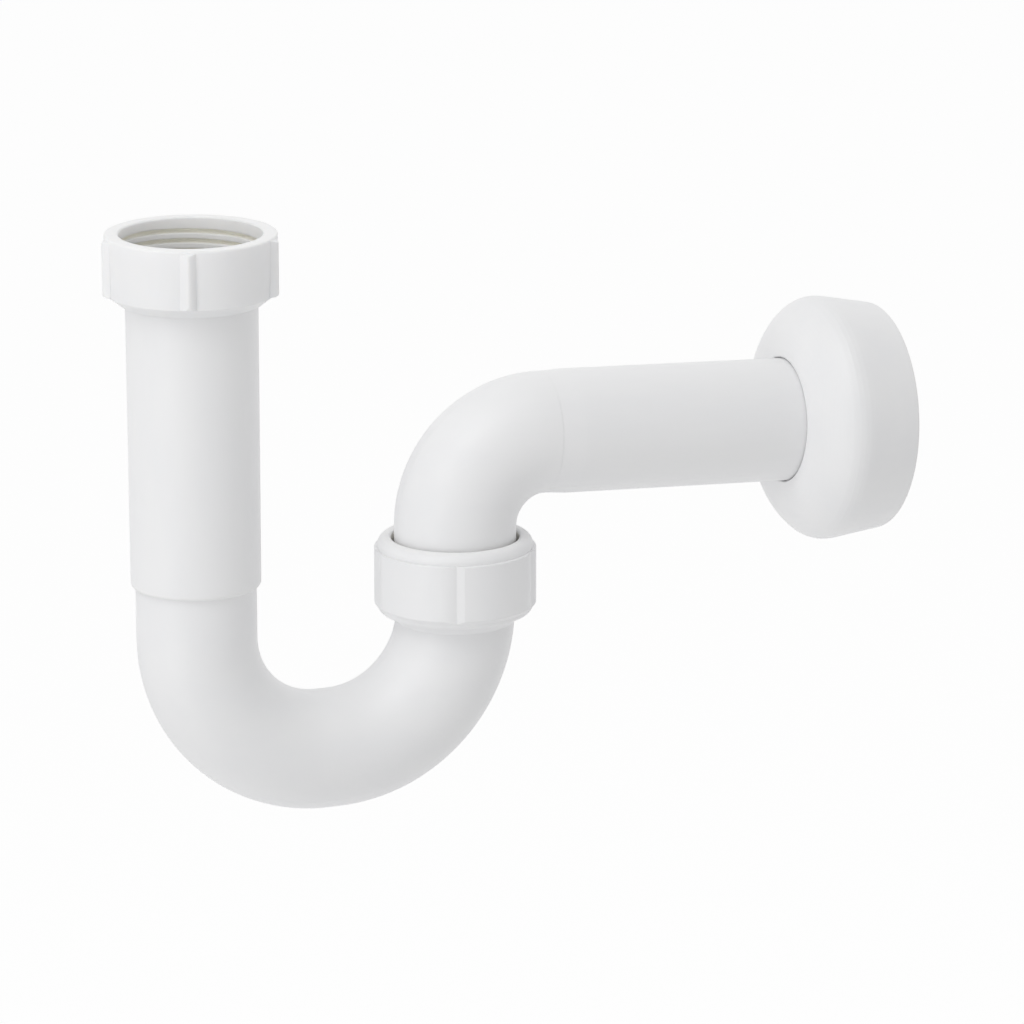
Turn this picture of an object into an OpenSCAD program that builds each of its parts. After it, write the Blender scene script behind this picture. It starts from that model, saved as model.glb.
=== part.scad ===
// Tubular waste trap with two union nuts and a wall rosette. All sizes are in millimetres.
// The inlet axis is Z with the nut's mouth at the origin. The outlet runs toward +X.

/* [Pipework] */
// Outer radius of the long outlet pipe
pipe_r = 20; // [18:0.1:22]
// Wall of the outlet pipe and its elbow
pipe_wall = 1.9; // [1.6:0.1:2.6]
// Outer radius of the water bend
bend_r = 19.1; // [18:0.1:20]
// Wall of the water bend
bend_wall = 1.9; // [1.6:0.1:2.2]
// Wall of the straight inlet tube at its lower end
tube_wall = 1.4; // [1.4:0.05:2]
// Growth of the inlet tube's radius from its lower end to its collar
tube_draft = 0.2; // [0:0.05:0.3]

/* [Layout] */
// Height of the inlet nut's mouth above the centre of the water bend
inlet_drop = 130.7; // [118:0.1:150]
// Distance between the inlet axis and the outlet nut's axis
leg_spacing = 87.7; // [86:0.1:100]
// Centre-line radius of both quarters of the water bend
bend_radius = 41.8; // [38:0.1:43]
// Height of the inlet tube's lower end above the centre of the water bend
tube_end_above = 17.4; // [12:0.2:24]
// Length of the bend's leg that is cemented inside the inlet tube
tube_lap = 25; // [15:0.5:35]
// Centre-line radius of the outlet elbow
elbow_radius = 28.1; // [27:0.1:34]
// Straight stub between the outlet nut and the start of the elbow
elbow_stub = 3.05; // [2.5:0.05:8]
// Growth of the elbow's radius where it leaves the seal
elbow_swell = 0.6; // [0.3:0.05:0.8]
// Downward fall of the outlet pipe in degrees
outlet_fall = 2.8; // [0:0.1:5]
// Length of the outlet pipe beyond the elbow
outlet_length = 125; // [100:1:200]

// Length of the pipe's free end that goes into the wall socket
spigot_l = 28; // [20:0.5:30]

/* [Inlet nut] */
// Thread crest radius, which is also the mouth
inlet_crest_r = 22.4; // [22:0.05:23]
// Depth of the thread groove
thread_depth = 1.5; // [1.2:0.05:1.6]
// Rise of the thread in one turn
thread_pitch = 3.15; // [3:0.05:3.4]
// Wall outside the thread groove
nut_wall = 3.1; // [2.4:0.05:3.2]
// Whole height of the inlet nut
inlet_nut_h = 22; // [21:0.1:26]
// Depth of threaded wall from the mouth
inlet_thread_h = 12.6; // [12.2:0.1:12.8]
// Plain lead-in above the first groove
lead_in = 3.2; // [2.6:0.1:3.6]

/* [Outlet nut] */
// Radial wall of the socket at the foot of its thread
socket_wall = 1.8; // [1.6:0.1:2.2]
// Wall outside the outlet nut's thread groove
outlet_nut_wall = 2.1; // [2:0.05:2.8]
// Whole height of the outlet nut
outlet_nut_h = 25; // [24.6:0.1:28]
// Height of the outlet nut's skirt edge below the bend's centre
skirt_below = 0.6; // [0.2:0.1:1.4]
// Gap round the elbow in the outlet nut's top
nut_hole_gap = 1.55; // [1.5:0.05:1.8]
// Height of the socket above the centre of the water bend
socket_h = 15.5; // [15:0.1:16]

/* [Seals] */
// Height of the flared mouth of the socket, which the seal's plug fills
flare_h = 4; // [3:0.1:5]
// Growth of the socket's radius over its flare
flare_w = 1.5; // [1.2:0.05:1.6]
// Height of the outlet seal's flange above the socket
flange_h = 2.6; // [2:0.1:3]
// Height of the slip ring
ring_h = 1.8; // [1.2:0.1:2]
// Thickness of the inlet tube's collar
collar_h = 2.6; // [2.2:0.1:3]
// Thickness of the flat washer on the collar
washer_h = 2.5; // [2:0.1:3]

/* [Grip] */
// Ribs round the inlet nut, and flutes round the outlet nut
rib_count = 5; // [4:1:6]
// Height of a rib above the inlet nut's wall
rib_height = 1.85; // [1:0.05:2.6]
// Width of a rib's straight side
rib_ramp = 2.6; // [2.2:0.1:3.4]
// Width of a rib's rounded side
rib_fall = 2.5; // [2.2:0.1:3.4]
// Direction of the first rib, in degrees from the outlet
rib_at = -110.8; // [-140:0.1:-80]
// Height of the outlet nut's grip band above its wall
band_height = 1; // [0.8:0.05:1.3]
// Depth of a flute in that band
flute_depth = 0.7; // [0.4:0.05:0.75]
// Width of a flute's long side
flute_run = 5.1; // [4:0.1:6]
// Width of a flute's short side
flute_fall = 2.6; // [2:0.1:3.4]
// Direction of the first flute, in degrees from the outlet
flute_at = -110.4; // [-140:0.1:-80]

/* [Wall rosette] */
// Radius at the corner between the dome and the rim, before it is rounded
rosette_r = 40.3; // [37:0.1:45]
// Radius of the rim where its rounded back edge starts
rosette_back_r = 37.2; // [35:0.1:45]
// Whole depth along the pipe
rosette_depth = 32.6; // [30:0.1:38]
// Part of the depth taken by the rim
rim_depth = 20.8; // [18:0.1:24]
// Radius of the rounded back edge
back_round = 1.2; // [0.8:0.1:1.3]
// Length of the soft corner on each side of the edge between dome and rim
corner = 4; // [2:0.1:5]
// Shell thickness
rosette_wall = 1.8; // [1.4:0.1:2.2]
// Gap round the pipe
rosette_gap = 0.35; // [0.3:0.05:1]
// Pipe that stands out behind the rosette
pipe_beyond = 7.6; // [2:0.2:20]

/* [Hidden] */
$fn = 120;
over = 0.6;                 // how far cutters run past a face
slip = 0.05;                // gap of a cemented or sliding lap
free = 0.3;                 // gap between pieces that turn on each other
turn_steps = 48;            // stations in one turn of a thread
tube_bore = bend_r + slip;
tube_r = tube_bore + tube_wall;
tube_top_r = tube_r + tube_draft;
bend_bore = bend_r - bend_wall;
flat_run = leg_spacing - 2 * bend_radius;
bend_z = -inlet_drop;
tube_end_z = bend_z + tube_end_above;
leg_top_z = tube_end_z + tube_lap;

// inlet nut and the pieces in it
inlet_root_r = inlet_crest_r + thread_depth;
inlet_body_r = inlet_root_r + nut_wall;
seat_r = inlet_crest_r + 0.45;
floor_z = -inlet_nut_h + 3.2;
collar_r = inlet_crest_r - 0.1;
collar_z = floor_z + free;
washer_z = collar_z + collar_h;
washer_top = min(washer_z + washer_h, -inlet_thread_h - free);
washer_r = inlet_crest_r - 0.3;

// outlet joint, with heights above the bend's centre
spigot_r = bend_r - 0.1;
socket_bore = spigot_r + free;
male_root_r = socket_bore + socket_wall;
male_crest_r = male_root_r + thread_depth - 0.1;
female_crest_r = male_root_r + 0.4;
female_root_r = male_crest_r + 0.4;
outlet_body_r = female_root_r + outlet_nut_wall;
ring_r = female_crest_r - free;
socket_floor = -1;
flange_0 = socket_h + 2 * slip;
ring_0 = flange_0 + flange_h + free;
ceiling = ring_0 + ring_h + free;
nut_top = outlet_nut_h - skirt_below;
nut_hole_r = spigot_r + nut_hole_gap;
elbow_r = spigot_r + elbow_swell;
elbow_z = bend_z + nut_top + elbow_stub;
elbow_turn = 90 + outlet_fall;
cone_run = 8;
mark_w = 1.2;
rosette_at = outlet_length - pipe_beyond - rosette_depth;

function arc_pts(cx, cy, r, a0, a1, n) =
    [for (i = [0:n]) [cx + r * cos(a0 + (a1 - a0) * i / n), cy + r * sin(a0 + (a1 - a0) * i / n)]];

// One helical ridge whose foot is buried in a wall and whose tip is trimmed later.
// Its height grows from nothing and dies away again over the first and last stations.
module ridge(foot_r, tip_r, foot_w, tip_w, turns) {
    last = round(turns * turn_steps);
    fade = turn_steps / 6;
    inward = tip_r < foot_r;
    rings = [for (i = [0:last])
        let (a = 360 * i / turn_steps, z = thread_pitch * i / turn_steps,
             g = max(0.06, min(1, i / fade, (last - i) / fade)),
             r = foot_r + (tip_r - foot_r) * g, w = foot_w + (tip_w - foot_w) * g)
        [[foot_r * cos(a), foot_r * sin(a), z - foot_w / 2], [foot_r * cos(a), foot_r * sin(a), z + foot_w / 2],
         [r * cos(a), r * sin(a), z + w / 2], [r * cos(a), r * sin(a), z - w / 2]]];
    points = [for (q = rings) each q];
    sides = [for (i = [0:last - 1]) for (k = [0:3])
        let (a = 4 * i + k, b = 4 * i + (k + 1) % 4, c = b + 4, d = a + 4)
        each [[a, b, c], [a, c, d]]];
    ends = [[0, 2, 1], [0, 3, 2], [4 * last, 4 * last + 1, 4 * last + 2], [4 * last, 4 * last + 2, 4 * last + 3]];
    faces = [for (f = concat(sides, ends)) inward ? f : [f[2], f[1], f[0]]];
    polyhedron(points = points, faces = faces, convexity = 8);
}

// Grip ribs for a nut of radius r. One side is straight, the other falls away in a curve.
module ribs_2d(r) {
    for (k = [0:rib_count - 1])
        rotate(rib_at + 360 * k / rib_count) polygon(concat(
            [[r - 1.5, -rib_ramp], [r - rib_ramp * rib_ramp / (2 * r), -rib_ramp], [r + 0.93 * rib_height, -0.35]],
            [for (i = [0:9]) let (t = 0.1 + (rib_fall - 0.1) * i / 9)
                [r - t * t / (2 * r) + rib_height * (1 - pow(i / 9, 1.8)), t]],
            [[r - 1.5, rib_fall]]));
}

// Outline of a grip band of radius r, broken by shallow flutes with a long and a short side
module band_2d(r) {
    function cut(t, wide, p) = [r - t * t / (2 * r) - flute_depth * pow(1 - abs(t) / wide, p), t];
    difference() {
        circle(r);
        for (k = [0:rib_count - 1])
            rotate(flute_at + 360 * k / rib_count) polygon(concat([[r + 1, -flute_run]],
                [for (i = [0:8]) cut(-flute_run * (1 - i / 8), flute_run, 2)], [cut(flute_fall, flute_fall, 1), [r + 1, flute_fall]]));
    }
}

// A soft corner at b, between a and c
function soft(a, b, c, n) = [for (i = [0:n]) let (t = i / n) (1 - t) * (1 - t) * a + 2 * t * (1 - t) * b + t * t * c];

// A closed ring from a section given as [radius, height] points
module turned(section) rotate_extrude() polygon(section);

module inlet_nut() {
    draft = 0.35;
    shoulder_r = inlet_body_r - draft;
    neck_r = shoulder_r - 3.8;
    color([0.93, 0.93, 0.94]) difference() {
        union() {
            turned(concat([[0, -inlet_nut_h], [neck_r - 0.4, -inlet_nut_h], [neck_r, -inlet_nut_h + 0.4],
                [shoulder_r, floor_z + 0.1]], arc_pts(inlet_body_r - 0.6, -0.6, 0.6, 0, 90, 4), [[0, 0]]));
            intersection() {
                translate([0, 0, floor_z - 1]) linear_extrude(-floor_z + 1) ribs_2d(inlet_body_r - draft / 2);
                turned([[0, floor_z + 0.4], [shoulder_r + rib_height - 0.5, floor_z + 0.4],
                    [shoulder_r + rib_height, floor_z + 1], [inlet_body_r + rib_height, floor_z + 1.8],
                    [inlet_body_r + rib_height, -1.7], [inlet_body_r + rib_height - 0.6, -1],
                    [inlet_body_r - 0.2, -0.6], [0, -0.6]]);
            }
        }
        turned([[0, over], [inlet_crest_r + 0.4 + over, over], [inlet_crest_r, -0.4], [inlet_crest_r, -lead_in],
            [inlet_root_r, -lead_in - 0.5], [inlet_root_r, -inlet_thread_h + 0.4], [seat_r, -inlet_thread_h],
            [seat_r, floor_z], [tube_top_r + free, floor_z], [tube_top_r + free, -inlet_nut_h - over],
            [0, -inlet_nut_h - over]]);
    }
    color([0.93, 0.93, 0.94]) intersection() {
        translate([0, 0, -inlet_thread_h + 1.4]) rotate(201)
            ridge(inlet_root_r + 0.5, inlet_crest_r - 0.3, 2.6, 1.35, (inlet_thread_h - 1.4 - lead_in + 1) / thread_pitch);
        translate([0, 0, -inlet_thread_h]) difference() {
            cylinder(r = inlet_root_r + 1, h = inlet_thread_h);
            translate([0, 0, -over]) cylinder(r = inlet_crest_r, h = inlet_thread_h + 2 * over);
        }
    }
}

module inlet_washer() {
    color([0.2, 0.2, 0.21]) turned([[tube_bore - 0.5, washer_z], [washer_r, washer_z],
        [washer_r, washer_top], [tube_bore - 0.5, washer_top]]);
}

module inlet_tube() {
    r = tube_wall - 0.1;
    color([0.92, 0.92, 0.93]) turned(concat([[tube_bore, tube_end_z]],
        arc_pts(tube_r - r, tube_end_z + r, r, 270, 360, 6),
        [[tube_top_r, collar_z - 0.01], [collar_r - 0.4, collar_z], [collar_r, collar_z + 0.4],
         [collar_r, washer_z], [tube_bore, washer_z]]));
}

// The water bend: the leg inside the inlet tube, two quarter bends, and the threaded socket
module bend_path(r, below, above) {
    translate([0, 0, bend_z]) cylinder(r = r, h = leg_top_z - bend_z + above);
    translate([bend_radius, 0, bend_z]) rotate([-90, 0, 180]) rotate_extrude(angle = 90) translate([bend_radius, 0]) circle(r);
    translate([bend_radius, 0, bend_z - bend_radius]) rotate([0, 90, 0]) cylinder(r = r, h = flat_run);
    translate([leg_spacing - bend_radius, 0, bend_z]) rotate([-90, 0, 0]) rotate_extrude(angle = 90) translate([bend_radius, 0]) circle(r);
    translate([leg_spacing, 0, bend_z]) cylinder(r = r, h = below);
}

module trap_bend() {
    color([0.92, 0.92, 0.93]) difference() {
        union() {
            bend_path(bend_r, 2, 0);
            translate([leg_spacing, 0, bend_z]) {
                turned([[bend_r - 1, -3.6], [bend_r, -3.6], [male_root_r, -1.2], [male_root_r, socket_h - 0.6],
                    [male_root_r - 0.6, socket_h], [bend_r - 1, socket_h]]);
                intersection() {
                    translate([0, 0, 1.2]) rotate(40)
                        ridge(male_root_r - 0.5, male_crest_r + 0.3, 2.3, 0.85, (socket_h - 3.6) / thread_pitch);
                    translate([0, 0, -0.5]) difference() {
                        cylinder(r = male_crest_r, h = socket_h + 1);
                        translate([0, 0, -over]) cylinder(r = male_root_r - 0.9, h = socket_h + 3);
                    }
                }
            }
        }
        bend_path(bend_bore, 3, over);
        translate([leg_spacing, 0, bend_z]) turned([[0, socket_floor], [socket_bore, socket_floor],
            [socket_bore, socket_h - flare_h], [socket_bore + flare_w, socket_h + 0.01],
            [socket_bore + flare_w, socket_h + over], [0, socket_h + over]]);
    }
}

module outlet_seal() {
    plug_0 = socket_h - flare_h + over;
    color([0.2, 0.2, 0.21]) translate([leg_spacing, 0, bend_z])
        turned([[spigot_r + slip, plug_0], [socket_bore + 2 * slip, plug_0],
            [socket_bore + flare_w - free, flange_0 - 0.5], [socket_bore + flare_w - free, flange_0], [ring_r, flange_0],
            [ring_r, flange_0 + flange_h], [spigot_r + slip, flange_0 + flange_h]]);
}

module slip_ring() {
    color([0.85, 0.87, 0.9]) translate([leg_spacing, 0, bend_z])
        turned([[elbow_r + free, ring_0], [ring_r, ring_0], [ring_r, ring_0 + ring_h], [elbow_r + free, ring_0 + ring_h]]);
}

module outlet_nut() {
    round_top = 3;
    round_skirt = 2.2;
    band_r = outlet_body_r + band_height;
    color([0.93, 0.93, 0.94]) translate([leg_spacing, 0, bend_z]) {
        difference() {
            union() {
                turned(concat([[0, -skirt_below]],
                    arc_pts(outlet_body_r - round_skirt, round_skirt - skirt_below, round_skirt, 270, 360, 5),
                    arc_pts(outlet_body_r - round_top, nut_top - round_top, round_top, 0, 90, 8), [[0, nut_top]]));
                intersection() {
                    linear_extrude(nut_top - 2) band_2d(band_r);
                    turned([[0, 1.1], [outlet_body_r - 0.2, 1.1], [band_r, 2.6],
                        [band_r, nut_top - round_top - 0.9], [band_r - 0.3, nut_top - round_top - 0.55],
                        [0, nut_top - round_top - 0.35]]);
                }
            }
            turned(concat([[0, -skirt_below - over], [female_root_r + 0.1 + over, -skirt_below - over],
                [female_root_r, -skirt_below + 0.1], [female_root_r, ceiling], [nut_hole_r, ceiling]],
                arc_pts(nut_hole_r + 1.1, nut_top - 1.1, 1.1, 180, 90, 5),
                [[nut_hole_r + 1.1, nut_top + over], [0, nut_top + over]]));
        }
        intersection() {
            translate([0, 0, 0.9]) rotate(40 + 180 - 360 * 0.3 / thread_pitch)
                ridge(female_root_r + 0.5, female_crest_r - 0.3, 2.05, 0.65, (socket_h - 3.8) / thread_pitch);
            translate([0, 0, -skirt_below + 0.1]) difference() {
                cylinder(r = female_root_r + 0.9, h = socket_h);
                translate([0, 0, -over]) cylinder(r = female_crest_r, h = socket_h + 2 * over);
            }
        }
    }
}

// Places what it is given on the outlet pipe's axis, s along it from the elbow
module along_outlet(s) {
    translate([leg_spacing + elbow_radius, 0, elbow_z]) rotate([0, outlet_fall, 0])
        translate([s, 0, elbow_radius]) rotate([0, 90, 0]) children();
}

module outlet_path(stub_r, bend_tube_r, out_r, past) {
    low = bend_z + socket_floor + 0.2;
    seal_top = bend_z + flange_0 + flange_h + slip;
    widen = 3;
    translate([leg_spacing, 0, low - past]) cylinder(r = stub_r, h = seal_top - low + past);
    translate([leg_spacing, 0, seal_top]) cylinder(r1 = stub_r, r2 = bend_tube_r, h = widen);
    translate([leg_spacing, 0, seal_top + widen]) cylinder(r = bend_tube_r, h = elbow_z - seal_top - widen);
    translate([leg_spacing + elbow_radius, 0, elbow_z]) rotate([90, 0, 180])
        rotate_extrude(angle = elbow_turn) translate([elbow_radius, 0]) circle(bend_tube_r);
    // the widening starts just inside the elbow's end, a hair smaller, so the two always join
    along_outlet(-1) cylinder(r1 = bend_tube_r - 0.12, r2 = out_r, h = cone_run + 1);
    along_outlet(cone_run) cylinder(r = out_r, h = outlet_length - cone_run + past);
}

module outlet_bend() {
    color([0.92, 0.92, 0.93]) difference() {
        outlet_path(spigot_r, elbow_r, pipe_r, 0);
        outlet_path(spigot_r - pipe_wall, elbow_r - pipe_wall, pipe_r - pipe_wall, over);
        // chamfered free end, and the ring mark that shows how far it goes into the wall socket
        along_outlet(outlet_length)
            turned([[pipe_r - 0.8, 0.01], [pipe_r + 0.1, -0.89], [pipe_r + 2, -0.89], [pipe_r + 2, 1], [pipe_r - 0.8, 1]]);
        along_outlet(outlet_length - spigot_l - mark_w)
            turned([[pipe_r - 0.25, 0], [pipe_r + 1, 0], [pipe_r + 1, mark_w], [pipe_r - 0.25, mark_w]]);
    }
}

module wall_rosette() {
    hole_r = pipe_r + rosette_gap;
    front = rosette_depth - rim_depth;
    // the dome is an arc that starts flat beside the pipe and would meet the rim in a corner
    start_r = hole_r + 1;
    dome_r = (pow(rosette_r - start_r, 2) + front * front) / (2 * front);
    sweep = asin((rosette_r - start_r) / dome_r) - corner / dome_r * 180 / PI;
    rim = [rosette_back_r - rosette_r, rim_depth - back_round] / norm([rosette_back_r - rosette_r, rim_depth - back_round]);
    // the same outline is used for the outside, and moved in by the wall for the inside
    function shell(in) = concat(arc_pts(start_r, dome_r, dome_r - in, 270, 270 + sweep, 12),
        let (edge = [start_r + (dome_r - in) * sin(sweep), dome_r - (dome_r - in) * cos(sweep)],
             point = [rosette_r - in, front + 0.4 * in])
        soft(edge + 0.2 * (point - edge), point, point + rim * corner, 4),
        [[rosette_back_r - in, rosette_depth - back_round]]);
    outside = concat(arc_pts(hole_r + 0.5, 0.5, 0.5, 180, 270, 3), shell(0),
        arc_pts(rosette_back_r - back_round, rosette_depth - back_round, back_round, 18, 72, 4),
        [[rosette_back_r - back_round, rosette_depth]]);
    inside = shell(rosette_wall);
    color([0.93, 0.93, 0.94]) along_outlet(rosette_at) turned(concat(outside,
        [[rosette_back_r - rosette_wall - 0.2, rosette_depth]],
        [for (i = [len(inside) - 1:-1:0]) inside[i]], [[start_r, rosette_wall + 0.6], [hole_r, rosette_wall + 0.6]]));
}

inlet_nut();
inlet_washer();
inlet_tube();
trap_bend();
outlet_seal();
slip_ring();
outlet_nut();
outlet_bend();
wall_rosette();
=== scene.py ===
from math import cos, pi, radians, sin

import bpy
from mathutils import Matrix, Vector


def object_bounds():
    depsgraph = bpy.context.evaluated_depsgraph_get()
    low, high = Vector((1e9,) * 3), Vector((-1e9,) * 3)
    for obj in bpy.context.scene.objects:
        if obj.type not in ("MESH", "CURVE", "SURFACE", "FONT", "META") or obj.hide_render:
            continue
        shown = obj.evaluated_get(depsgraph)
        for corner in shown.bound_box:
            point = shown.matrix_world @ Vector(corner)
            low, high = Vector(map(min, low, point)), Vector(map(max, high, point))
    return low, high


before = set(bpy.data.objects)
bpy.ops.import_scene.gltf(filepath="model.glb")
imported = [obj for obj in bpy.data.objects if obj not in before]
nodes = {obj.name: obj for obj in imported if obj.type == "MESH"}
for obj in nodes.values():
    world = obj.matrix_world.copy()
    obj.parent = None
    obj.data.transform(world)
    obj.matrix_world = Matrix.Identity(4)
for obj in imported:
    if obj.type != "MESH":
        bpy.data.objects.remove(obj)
cad_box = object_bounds()

# The camera stands where the photograph was taken from: to the left of square on and a little above
# the trap, with a long lens that keeps the pipes almost parallel.
view_turn, view_drop = radians(22.113), radians(15.482)
view_target = Vector((0.1068, -0.0014, -0.1005))
view_distance = 1.7879
to_camera = Vector((-sin(view_turn) * cos(view_drop), -cos(view_turn) * cos(view_drop), sin(view_drop)))
camera = bpy.data.objects.new("camera", bpy.data.cameras.new("camera"))
bpy.context.scene.collection.objects.link(camera)
camera.data.lens, camera.data.sensor_width = 195.78, 36
camera.location = view_target + to_camera * view_distance
camera.rotation_euler = (pi / 2 - view_drop, 0, -view_turn)
bpy.context.scene.camera = camera


# Inlet nut: the union nut that clamps the trap to the waste above it. It is one thick satin white
# polypropylene moulding with five grip ribs, drawn out of its mould along Z and unscrewed from the
# core that cut its thread. Its rim is scuffed by hands and wrenches. Inside its mouth the white is painted
# lighter, a painted light for the light that reaches in, and its thread grooves are painted cream, a painted
# warm bounce light.
class Sock:
    """A socket in an expression. Each operator adds one Math node."""
    def __init__(self, finish, socket):
        self.finish, self.socket = finish, socket

    def math(self, operation, *others):
        return self.finish.node("ShaderNodeMath", {"operation": operation}, [self, *others])

    def __add__(self, o): return self.math("ADD", o)
    __radd__ = __add__
    def __mul__(self, o): return self.math("MULTIPLY", o)
    __rmul__ = __mul__
    def __sub__(self, o): return self.math("SUBTRACT", o)
    def __rsub__(self, o): return self.finish.node("ShaderNodeMath", {"operation": "SUBTRACT"}, [o, self])
    def __pow__(self, o): return self.math("POWER", o)
    def __abs__(self): return self.math("ABSOLUTE")


class Finish:
    """The material of one piece, or the shader of the world. Lengths along the piece are in millimetres."""
    def __init__(self, name, tree=None):
        if tree is None:
            self.material = bpy.data.materials.new(name)
            self.material.use_nodes = True
            tree = self.material.node_tree
        self.tree = tree
        tree.nodes.clear()

    def node(self, kind, settings=None, sockets=(), out=0):
        """Adds one node. sockets holds its values or links, as a list in order or by name or number."""
        made = self.tree.nodes.new(kind)
        for name, value in (settings or {}).items():
            setattr(made, name, value)
        pairs = sockets.items() if isinstance(sockets, dict) else enumerate(sockets)
        for key, value in pairs:
            if isinstance(value, Sock):
                self.tree.links.new(value.socket, made.inputs[key])
            else:
                made.inputs[key].default_value = value
        return Sock(self, made.outputs[out]) if made.outputs else made

    def place(self, centre=(0, 0, 0), turn=(0, 0, 0)):
        """The piece's own coordinates in millimetres from a centre, turned about it."""
        own = self.node("ShaderNodeTexCoord", out="Object")
        centre_m = tuple(c / 1000 for c in centre)
        moved = self.node("ShaderNodeVectorMath", {"operation": "SUBTRACT"}, [own, centre_m])
        to_mm = {"Vector": moved, "Rotation": turn, "Scale": (1000, 1000, 1000)}
        return self.node("ShaderNodeMapping", None, to_mm)

    def xyz(self, vector):
        return [self.node("ShaderNodeSeparateXYZ", None, [vector], out=i) for i in range(3)]

    def noise(self, vector, size, detail=2, stretch=(1, 1, 1)):
        """Cloudy values round 0.5, about size millimetres wide, and longer where stretch is more than 1."""
        sizes = tuple(size * s for s in stretch)
        scaled = self.node("ShaderNodeVectorMath", {"operation": "DIVIDE"}, [vector, sizes])
        grain = {"Vector": scaled, "Scale": 1, "Detail": detail, "Roughness": 0.55}
        return self.node("ShaderNodeTexNoise", None, grain)

    def band(self, value, at, half, soft):
        """1 within half of the value at, falling to 0 over soft more."""
        return self.node("ShaderNodeMapRange", {"interpolation_type": "SMOOTHSTEP"},
                         [abs(value - at), half, half + soft, 1, 0])

    def above(self, value, low, high):
        return self.node("ShaderNodeMapRange", {"interpolation_type": "SMOOTHSTEP"}, [value, low, high, 0, 1])

    def blend(self, mask, a, b):
        return self.node("ShaderNodeMix", {"data_type": "RGBA"}, {0: mask, 6: a, 7: b}, out=2)

    def shows(self):
        """1 for what the camera, a gloss or a glass sees, and 0 for the light that falls on the pieces."""
        rays = "Is Camera Ray", "Is Glossy Ray", "Is Transmission Ray"
        return sum(self.node("ShaderNodeLightPath", out=ray) for ray in rays)

    def surface(self, colour, roughness, relief, edge=0.35, **constants):
        """Ends the material. relief is in millimetres, and edge is the radius that edges are softened to."""
        soft_edges = self.node("ShaderNodeBevel", {"samples": 4}, {"Radius": edge / 1000})
        bump = {"Strength": 1.0, "Distance": 0.001, "Height": relief, "Normal": soft_edges}
        normal = self.node("ShaderNodeBump", None, bump)
        sockets = {"Base Color": colour, "Roughness": roughness, "Normal": normal}
        sockets.update({name.replace("_", " "): value for name, value in constants.items()})
        self.node("ShaderNodeOutputMaterial", None, [self.node("ShaderNodeBsdfPrincipled", None, sockets)])

    def dress(self, node):
        node.data.materials.clear()
        node.data.materials.append(self.material)


white_skin, white_cloud = (0.873, 0.874, 0.88, 1), (0.86, 0.862, 0.872, 1)
# The second colour on the next line is a painted light: a lighter white for the inside of the inlet nut's
# mouth.
worn_white, painted_mouth_white = (0.885, 0.885, 0.884, 1), (0.97, 0.968, 0.955, 1)
# A painted warm bounce light: a cream for the inlet nut's thread grooves and the slip nut's hole.
painted_warm_bounce = (0.95, 0.92, 0.83, 1)


def moulded_skin(f, vector, flow=(1, 1, 1)):
    """What every moulding here shares: faint flow clouds, fine orange peel, and hair-thin rub marks."""
    cloud_size, ripple_size, peel_size, rub_size, rub_stretch = 14, 6, 1.3, 0.7, (9, 1, 5)
    satin = 0.4
    cloud = f.above(f.noise(vector, cloud_size, 3, flow), 0.35, 0.7)
    ripple = f.noise(vector, ripple_size, 1)
    peel = f.noise(vector, peel_size, 2)
    rubs = f.above(f.noise(vector, rub_size, 1, rub_stretch), 0.66, 0.8)
    colour = f.blend(cloud, white_skin, white_cloud)
    roughness = satin + 0.08 * cloud + 0.05 * peel + 0.1 * rubs
    relief = 0.012 * peel + 0.02 * ripple - 0.004 * rubs
    return colour, roughness, relief


def nut_finish(name, centre, rim_z, crest_r):
    """A union nut's plastic: draw marks down its wall, and scuffs on its rim and its grips' crests."""
    scuff_size, draw_width, draw_stretch, crest_depth, rim_half = 2.2, 0.8, (1, 1, 40), 0.7, 0.4
    f = Finish(name)
    vector = f.place(centre)
    x, y, z = f.xyz(vector)
    radius = (x * x + y * y) ** 0.5
    colour, roughness, relief = moulded_skin(f, vector, (1, 1, 3))
    scuff = f.noise(vector, scuff_size, 3, (1, 1, 2))
    on_crest, on_rim = f.above(radius, crest_r - crest_depth, crest_r), f.band(z, rim_z, rim_half, 0.7)
    worn = f.above(on_crest + on_rim + scuff, 1.25, 1.6)
    draw_marks = f.noise(vector, draw_width, 1, draw_stretch)
    colour = f.blend(worn, colour, worn_white)
    return f, z, radius, colour, roughness + 0.1 * worn, relief + 0.006 * draw_marks


inlet_centre, inlet_rim_z, inlet_rib_r = (0, 0, 0), 0, 28.7
mouth_r, mouth_middle, mouth_half = 24, -10, 9
thread_crest_r, thread_groove_r, first_turn_z = 22.5, 23.4, -3
f, z, radius, colour, roughness, relief = nut_finish(
    "inlet_nut_plastic", inlet_centre, inlet_rim_z, inlet_rib_r)
mouth_painted_light = (1 - f.above(radius, mouth_r, mouth_r + 0.3)) * f.band(z, mouth_middle, mouth_half, 0.8)
below_first_turn = 1 - f.above(z, first_turn_z - 0.5, first_turn_z)
groove_painted_light = f.above(radius, thread_crest_r, thread_groove_r) * mouth_painted_light * below_first_turn
# Painted light: the inside of the mouth is painted a lighter white in place of the light that reaches into
# the nut.
colour = f.blend(mouth_painted_light, colour, painted_mouth_white)
# Painted light: the thread grooves are painted a warm cream, a painted bounce light.
colour = f.blend(0.8 * groove_painted_light, colour, painted_warm_bounce)
f.surface(colour, roughness, relief,
          Subsurface_Weight=0.45, Subsurface_Radius=(1, 0.97, 0.92), Subsurface_Scale=0.004)
f.dress(nodes["inlet_nut"])


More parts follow.
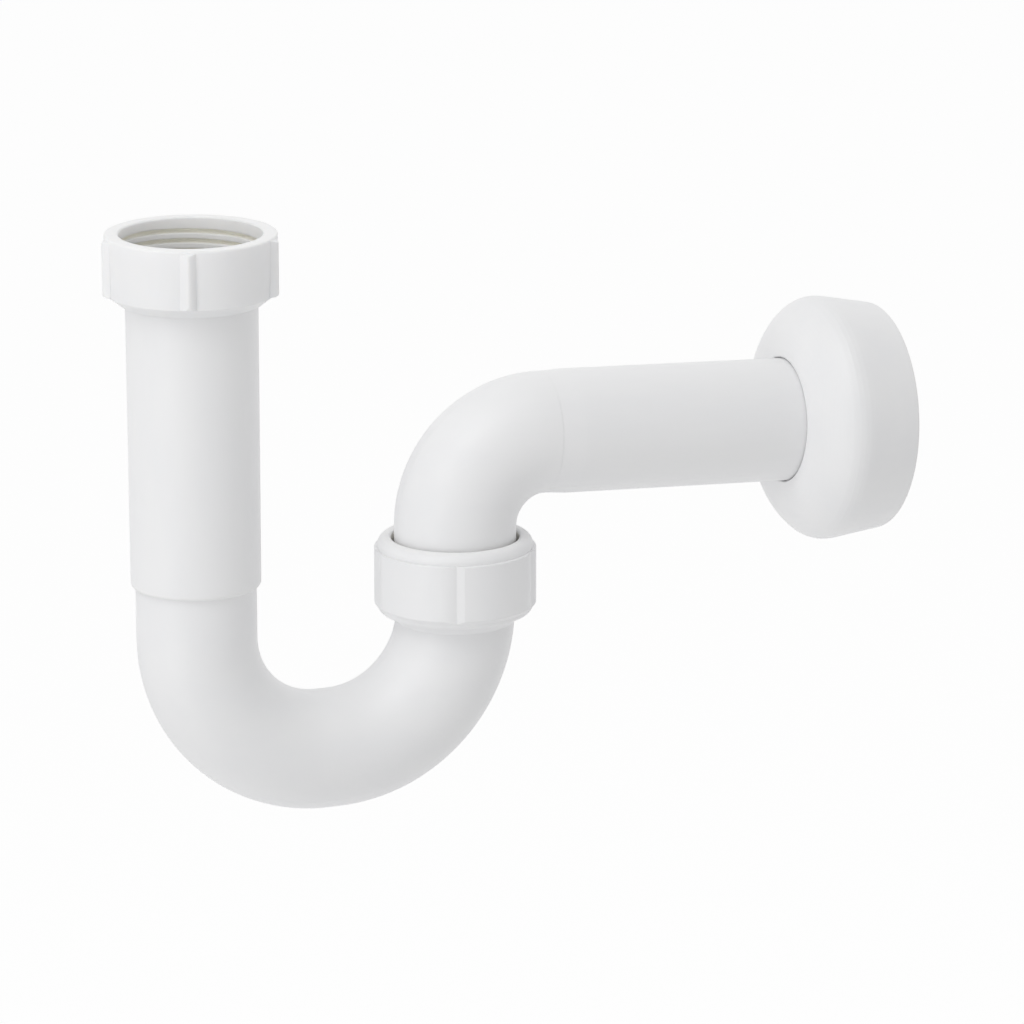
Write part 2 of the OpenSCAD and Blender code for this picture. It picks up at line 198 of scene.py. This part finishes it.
# Inlet washer: the flat ring of black rubber that seals the tube's collar against the waste, punched
# from sheet, so its faces have the sheet's fine grain.
def rubber_finish(name, centre):
    """Matt black rubber with a fine grain, greyer where its sulphur has bloomed to the surface."""
    rubber_black, bloom_grey, grain_size, bloom_size = (0.028, 0.028, 0.03, 1), (0.06, 0.06, 0.062, 1), 0.5, 5
    f = Finish(name)
    vector = f.place(centre)
    grain = f.noise(vector, grain_size, 3)
    bloom = f.above(f.noise(vector, bloom_size, 2), 0.45, 0.75)
    colour = f.blend(bloom, rubber_black, bloom_grey)
    f.surface(colour, 0.55 + 0.2 * bloom + 0.1 * grain, 0.03 * grain, edge=0.2)
    return f


rubber_finish("washer_rubber", inlet_centre).dress(nodes["inlet_washer"])


# Inlet tube: the straight white polypropylene tube that hangs from its collar in the inlet nut. It was
# drawn off a long polished core, so its fine marks run down it, and its cut lower lip is a little whiter.
down_tube, core_mark_width, lip_z, lip_half = (1, 1, 4), 0.9, -113.3, 1.1
f = Finish("inlet_tube_plastic")
vector = f.place()
_, _, z = f.xyz(vector)
colour, roughness, relief = moulded_skin(f, vector, down_tube)
core_marks = f.noise(vector, core_mark_width, 2, (1, 1, 60))
lip = f.band(z, lip_z, lip_half, 0.9)
colour = f.blend(lip * 0.6, colour, worn_white)
f.surface(colour, roughness + 0.05 * core_marks + 0.05 * lip, relief + 0.012 * core_marks)
f.dress(nodes["inlet_tube"])


# Water bend: the U that holds the water seal, one polypropylene moulding made in two halves of a steel
# mould. The halves left a fine line of flash along the middle of the bend, inside and out, and the
# plastic came in through a gate under the lowest point, now a small trimmed scar.
gate_centre, gate_r, pip_size, fan_size = (43.85, 0, -191.6), 3.2, 0.6, 30
flash_half, flash_soft, fan_white = 0.1, 0.16, (0.84, 0.843, 0.852, 1)
f = Finish("trap_bend_plastic")
vector = f.place()
_, y, _ = f.xyz(vector)
colour, roughness, relief = moulded_skin(f, vector, (2, 1, 1))
seam = f.band(y, 0, flash_half, flash_soft)
gx, gy, gz = f.xyz(f.place(gate_centre))
from_gate = (gx * gx + gy * gy + gz * gz) ** 0.5
scar = f.band(from_gate, gate_r, 0.12, 0.25)
pip = (1 - f.above(from_gate, gate_r - 0.4, gate_r)) * f.noise(vector, pip_size, 3)
flow_fan = f.above(f.noise(vector, fan_size, 2), 0.4, 0.7)
colour = f.blend(0.35 * flow_fan, colour, fan_white)
colour = f.blend(0.5 * seam, colour, worn_white)
roughness = roughness + 0.12 * seam + 0.1 * scar + 0.15 * pip
f.surface(colour, roughness, relief + 0.07 * seam + 0.12 * scar + 0.08 * pip)
f.dress(nodes["trap_bend"])


# Outlet seal: the tapered collar of soft black rubber that the slip nut squeezes between the socket and
# the elbow. It is moulded from the same rubber as the washer, and is hidden until the nut is off.
rubber_finish("seal_rubber", (87.7, 0, -115)).dress(nodes["outlet_seal"])


# Slip ring: the thin anti-friction ring over the seal, turned from natural polyethylene, milky and waxy,
# with the lathe's fine rings on its face.
ring_centre, lathe_phase_per_mm, wax_size = (87.7, 0, -111), 22, 4
milky, clear_milky = (0.74, 0.76, 0.8, 1), (0.8, 0.82, 0.84, 1)
f = Finish("slip_ring_plastic")
vector = f.place(ring_centre)
x, y, _ = f.xyz(vector)
radius = (x * x + y * y) ** 0.5
lathe = f.node("ShaderNodeMath", {"operation": "SINE"}, [radius * lathe_phase_per_mm])
waxy = f.noise(vector, wax_size, 2)
f.surface(f.blend(waxy, milky, clear_milky), 0.34 + 0.1 * waxy, 0.01 * lathe + 0.01 * waxy, edge=0.15)
f.dress(nodes["slip_ring"])


# Outlet nut: the slip nut over the seal, moulded like the inlet nut but smoother, with a raised grip band
# broken by five shallow flutes. It is fingered more than turned with a wrench, so its band is less scuffed.
slip_nut_centre, slip_nut_rim_z, slip_nut_band_r, hole_r = (87.7, 0, -130.7), 24.4, 26.6, 21.2
f, z, radius, colour, roughness, relief = nut_finish(
    "outlet_nut_plastic", slip_nut_centre, slip_nut_rim_z, slip_nut_band_r)
# Painted light: the wall of the hole is painted a warm cream, lighter than the white, in place of the light
# that reaches in.
below_rim = 1 - f.above(z, slip_nut_rim_z - 1, slip_nut_rim_z - 0.5)
hole_painted_light = (1 - f.above(radius, hole_r, hole_r + 0.4)) * below_rim
colour = f.blend(0.7 * hole_painted_light, colour, painted_warm_bounce)
f.surface(colour, roughness, relief)
f.dress(nodes["outlet_nut"])


# Outlet bend: the elbow and its long pipe, one white polypropylene moulding. The elbow shows the fine
# line where its mould closed, and the pipe's skin has long faint draw marks.
pipe_start, fall, along_pipe, draw_mark_width = (115.8, 0, -75.2), radians(2.8), (4, 1, 1), 0.9
f = Finish("outlet_bend_plastic")
vector = f.place(pipe_start, (0, -fall, 0))
x, y, _ = f.xyz(vector)
colour, roughness, relief = moulded_skin(f, vector, along_pipe)
elbow_part = 1 - f.above(x, -1, 5)
seam = f.band(y, 0, flash_half, flash_soft) * elbow_part
draw = f.noise(vector, draw_mark_width, 2, (60, 1, 1)) * (1 - elbow_part)
colour = f.blend(0.5 * seam, colour, worn_white)
f.surface(colour, roughness + 0.12 * seam + 0.04 * draw, relief + 0.06 * seam + 0.01 * draw)
f.dress(nodes["outlet_bend"])


# Wall rosette: the thin domed cover that slides on the pipe and hides the hole in the wall. It is the
# part meant to be seen, so its face is the smoothest, with a faint swirl where the plastic spread out.
cover_front, wall_rim_x, swirl_size, scuff_size = (201.4, 0, -79.4), 33, 9, 2
f = Finish("rosette_plastic")
vector = f.place(cover_front, (0, -fall, 0))
x, _, _ = f.xyz(vector)
colour, roughness, relief = moulded_skin(f, vector)
swirl = f.noise(vector, swirl_size, 3, (1, 3, 1))
worn = f.above(f.band(x, wall_rim_x, 0.6, 1.4) + f.noise(vector, scuff_size, 3), 1.2, 1.6)
colour = f.blend(0.5 * f.above(swirl, 0.5, 0.8), colour, white_skin)
colour = f.blend(worn, colour, worn_white)
roughness = roughness - 0.05 + 0.05 * swirl + 0.1 * worn
f.surface(colour, roughness, 0.6 * relief + 0.008 * swirl, edge=0.5)
f.dress(nodes["wall_rosette"])


# The studio: a white floor far below the hanging trap, the white walls of a light tent, a little dimmer in
# front, and two soft panels of light to the left of the camera, one tall and one high up.
floor_below, floor_width, white_glow = 1.0, 80, 0.78
bpy.ops.object.select_all(action="DESELECT")
bpy.ops.mesh.primitive_plane_add(size=floor_width, location=(0, 0, cad_box[0].z - floor_below))
floor = bpy.context.object
floor.name = "floor"
f = Finish("floor_white")
shown_white = f.shows()
matt = f.node("ShaderNodeBsdfDiffuse", None, [(0.93, 0.93, 0.93, 1)])
shaded = f.node("ShaderNodeBsdfDiffuse", None, [(0.3, 0.3, 0.3, 1)])
glow = f.node("ShaderNodeEmission", None, [(1, 1, 1, 1), white_glow])
shown = f.node("ShaderNodeAddShader", None, [shaded, glow])
f.node("ShaderNodeOutputMaterial", None, [f.node("ShaderNodeMixShader", None, [shown_white, matt, shown])])
f.dress(floor)

world = bpy.data.worlds.new("studio")
bpy.context.scene.world = world
world.use_nodes = True
f = Finish("studio", world.node_tree)
tent_even, tent_lean = 0.735, (0.2, 0.2, -0.095)
shown_white = f.shows()
toward = f.node("ShaderNodeTexCoord")
lean = f.node("ShaderNodeVectorMath", {"operation": "DOT_PRODUCT"}, [toward, tent_lean], out=1)
tent = f.node("ShaderNodeBackground", None, [(1, 1, 1, 1), lean + tent_even])
backdrop = f.node("ShaderNodeBackground", None, [(1, 1, 1, 1), 1.0])
f.node("ShaderNodeOutputWorld", None, [f.node("ShaderNodeMixShader", None, [shown_white, tent, backdrop])])


def soft_panel(name, left, high, away, wide, tall, watts):
    """A soft panel that faces the trap, left of the camera and high above it by those angles in degrees."""
    lamp = bpy.data.objects.new(name, bpy.data.lights.new(name, "AREA"))
    bpy.context.scene.collection.objects.link(lamp)
    lamp.data.shape, lamp.data.size, lamp.data.size_y, lamp.data.energy = "RECTANGLE", wide, tall, watts
    turn, lift = view_turn + radians(left), radians(high)
    lamp.location = view_target + away * Vector((-sin(turn) * cos(lift), -cos(turn) * cos(lift), sin(lift)))
    lamp.rotation_euler = (view_target - lamp.location).to_track_quat("-Z", "Y").to_euler()
    lamp.visible_camera = False


soft_panel("tall_panel", left=42, high=10, away=1.1, wide=0.5, tall=2.4, watts=4.6)
soft_panel("high_panel", left=35, high=58, away=1.5, wide=0.9, tall=0.9, watts=4.9)

bpy.context.scene.view_settings.view_transform = "Standard"
